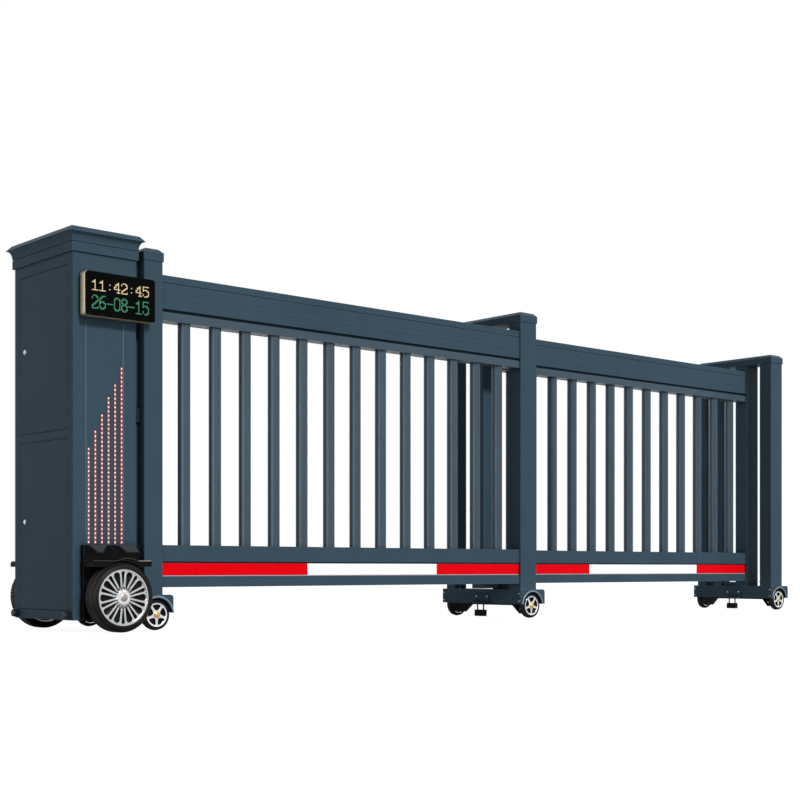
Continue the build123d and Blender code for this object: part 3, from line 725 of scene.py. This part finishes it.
STILE_LINES, STILE_BOTTOM, STILE_TOP = (0.056, 0.228), 0.362, 1.262
bm = bmesh.new()
bevel_box(bm, (cab_hi.x - 0.002, post_1[0].y + 0.052, 0.17),
          (post_1[0].x + 0.002, post_1[0].y + 0.064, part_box("cabinet_cornice")[0].z + 0.004), 0.002)
mesh_object("gap_seal", bm, MATS["slate_paint"], "drive_section")
bm = bmesh.new()
for line_x in STILE_LINES:
    bevel_box(bm, (cab_lo.x + line_x + 0.0004, cab_lo.y - 0.0008, STILE_BOTTOM),
              (cab_lo.x + line_x + 0.0034, cab_lo.y + 0.0010, STILE_TOP), 0.0003)
mesh_object("stile_lines", bm, MATS["stile_highlight"], "drive_section")


# Camera, fitted to the photo

CAMERA_AT = (ROW_X - 3.1736, ROW_Y - 5.1731, 0.25888)
CAMERA_TURN, CAMERA_LENS, CAMERA_SHIFT = -41.61, 64.69, 0.2107
cam_data = bpy.data.cameras.new("camera")
cam = bpy.data.objects.new("camera", cam_data)
bpy.context.scene.collection.objects.link(cam)
cam.location = CAMERA_AT
cam.rotation_euler = (math.radians(90), 0, math.radians(CAMERA_TURN))
cam_data.sensor_width = 36.0
cam_data.lens = CAMERA_LENS
cam_data.shift_y = CAMERA_SHIFT
cam_data.clip_end = 200
bpy.context.scene.camera = cam
bpy.context.scene.view_settings.view_transform = "Standard"


# Floor, light and background. The camera sees the floor as white, a little less so near the gate.

FLOOR_ALBEDO, FLOOR_GLOW = 0.62, 1.1
bm = bmesh.new()
bmesh.ops.create_grid(bm, x_segments=1, y_segments=1, size=60)
data = bpy.data.meshes.new("floor")
bm.to_mesh(data)
bm.free()
floor = bpy.data.objects.new("floor", data)
floor.location = (0, 0, -0.0005)
bpy.context.scene.collection.objects.link(floor)
mat, tree, sh = new_material("floor_pale")
mottled(tree, sh, (FLOOR_ALBEDO,) * 3, 0.01, 0.5)
sh.inputs["Roughness"].default_value = 0.9
glow = add(tree, "ShaderNodeEmission")
glow.inputs["Strength"].default_value = FLOOR_GLOW
blend = add(tree, "ShaderNodeMixShader")
ray = add(tree, "ShaderNodeLightPath")
distance = add(tree, "ShaderNodeVectorMath", operation="LENGTH")
tree.links.new(object_coords(tree), distance.inputs[0])
fade = add(tree, "ShaderNodeMapRange")
for key, value in (("From Min", 3.0), ("From Max", 14.0), ("To Min", 0.86), ("To Max", 1.0)):
    fade.inputs[key].default_value = value
tree.links.new(distance.outputs["Value"], fade.inputs["Value"])
share = add(tree, "ShaderNodeMath", operation="MULTIPLY")
tree.links.new(fade.outputs["Result"], share.inputs[0])
tree.links.new(ray.outputs["Is Camera Ray"], share.inputs[1])
tree.links.new(share.outputs[0], blend.inputs["Fac"])
tree.links.new(sh.outputs["BSDF"], blend.inputs[1])
tree.links.new(glow.outputs["Emission"], blend.inputs[2])
tree.links.new(blend.outputs["Shader"], tree.nodes["Material Output"].inputs["Surface"])
data.materials.append(mat)

world = bpy.data.worlds.new("studio")
bpy.context.scene.world = world
world.use_nodes = True
# The sky lights matt faces at SKY_DIFFUSE and is white to the camera and in reflections
SKY_DIFFUSE = 0.40
tree = world.node_tree
bg = tree.nodes["Background"]
path = add(tree, "ShaderNodeLightPath")
level = add(tree, "ShaderNodeMix", data_type="FLOAT")
level.inputs["A"].default_value = SKY_DIFFUSE
level.inputs["B"].default_value = 1.0
clear = add(tree, "ShaderNodeMath", operation="MAXIMUM")
tree.links.new(path.outputs["Is Glossy Ray"], clear.inputs[0])
tree.links.new(path.outputs["Is Transmission Ray"], clear.inputs[1])
seen = add(tree, "ShaderNodeMath", operation="MAXIMUM")
tree.links.new(path.outputs["Is Camera Ray"], seen.inputs[0])
tree.links.new(clear.outputs[0], seen.inputs[1])
tree.links.new(seen.outputs[0], level.inputs["Factor"])
tree.links.new(level.outputs["Result"], bg.inputs["Strength"])
bg.inputs["Color"].default_value = (1, 1, 1, 1)


def area(name, location, target, size, power, size_y=None):
    """Rectangular lamp facing target."""
    light = bpy.data.lights.new(name, "AREA")
    light.energy = power
    light.shape = "RECTANGLE"
    light.size = size
    light.size_y = size_y or size
    obj = bpy.data.objects.new(name, light)
    obj.location = location
    obj.rotation_euler = (Vector(target) - Vector(location)).to_track_quat("-Z", "Y").to_euler()
    bpy.context.scene.collection.objects.link(obj)
    return obj


# The strip lamp gives reflections only, and the fill keeps the back from going dark
sun = bpy.data.lights.new("sun", "SUN")
sun.energy = 2.8
sun.angle = math.radians(10)
sun_obj = bpy.data.objects.new("sun", sun)
sun_obj.rotation_euler = Vector((0.0, -0.82, 0.55)).to_track_quat("Z", "Y").to_euler()
bpy.context.scene.collection.objects.link(sun_obj)
strip_light = area("left_strip", (-8.4, -3.4, 1.1), (0.2, -0.1, 0.9), 4.6, 520, 2.6)
strip_light.visible_diffuse = False
strip_light.data.color = (0.86, 0.95, 1.0)
area("back_fill", (3.0, 7.5, 4.6), (0, 0, 0.8), 4.0, 480)
area("top_right", (6.5, -1.2, 8.5), (-1.0, 0, 1.2), 2.2, 90)
